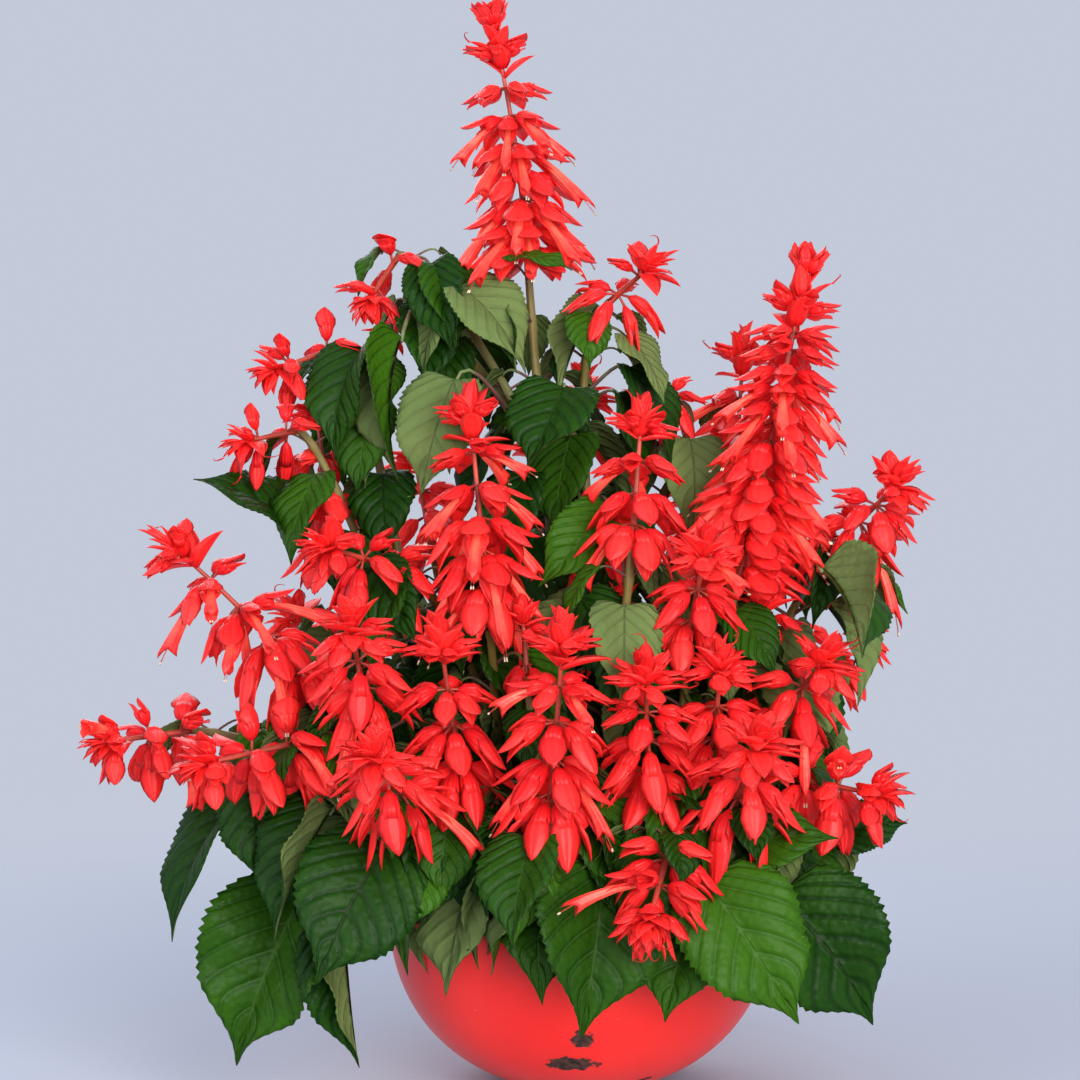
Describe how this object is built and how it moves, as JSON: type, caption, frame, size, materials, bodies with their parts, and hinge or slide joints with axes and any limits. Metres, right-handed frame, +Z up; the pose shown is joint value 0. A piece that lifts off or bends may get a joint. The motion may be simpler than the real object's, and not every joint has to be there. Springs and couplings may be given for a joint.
{
  "type": "potted scarlet salvia",
  "caption": "Mounded planting of scarlet salvia in a round painted metal bowl, with upright red flower spikes and drooping toothed leaves.",
  "frame": {"origin": "centre of the bowl's flat foot", "axes": "+Z up; -Y towards the fullest side of the planting; +X to the right as seen from that side"},
  "size_m": [0.3743, 0.3382, 0.4872],
  "materials": {
    "bowl": "satin red paint, chipped to dark metal in a few spots",
    "soil": "moist bark and peat potting compost",
    "plant": "quilted leaves, dark green above and pale green below, on square olive stems",
    "spike": "satin scarlet calyces and corollas"
  },
  "bodies": {
    "root": {"bowl": "bowl", "soil": "soil", "plant_crown": "plant", "plant_lamp": "plant", "plant_tower": "plant", "plant_east": "plant", "plant_high_west": "plant", "plant_west": "plant", "plant_low_west": "plant", "plant_centre": "plant", "plant_middle": "plant", "plant_front_left": "plant", "plant_front": "plant", "plant_front_right": "plant", "plant_right": "plant", "plant_low_east": "plant", "plant_back_left": "plant", "plant_back": "plant", "plant_back_right": "plant", "spike_crown": "spike", "spike_left_nod": "spike", "spike_left_bud": "spike", "spike_right_nod": "spike", "spike_inner": "spike", "spike_small_bud": "spike", "spike_tower": "spike", "spike_tower_back": "spike", "spike_east": "spike", "spike_east_low": "spike", "spike_high_west": "spike", "spike_west_side": "spike", "spike_west_nod": "spike", "spike_west": "spike", "spike_far_west": "spike", "spike_low_west": "spike", "spike_left_face": "spike", "spike_middle_left": "spike", "spike_centre": "spike", "spike_middle": "spike", "spike_middle_low": "spike", "spike_front_left": "spike", "spike_left_low": "spike", "spike_front": "spike", "spike_front_bud": "spike", "spike_front_right": "spike", "spike_nodding": "spike", "spike_right": "spike", "spike_right_low": "spike", "spike_right_high": "spike", "spike_east_face": "spike", "spike_far_east": "spike", "spike_back_high": "spike", "spike_back_low": "spike", "spike_back_left_high": "spike", "spike_back_left": "spike", "spike_back_left_low": "spike", "spike_back_right_high": "spike", "spike_back_right": "spike", "spike_back_right_low": "spike"}
  },
  "joints": []
}
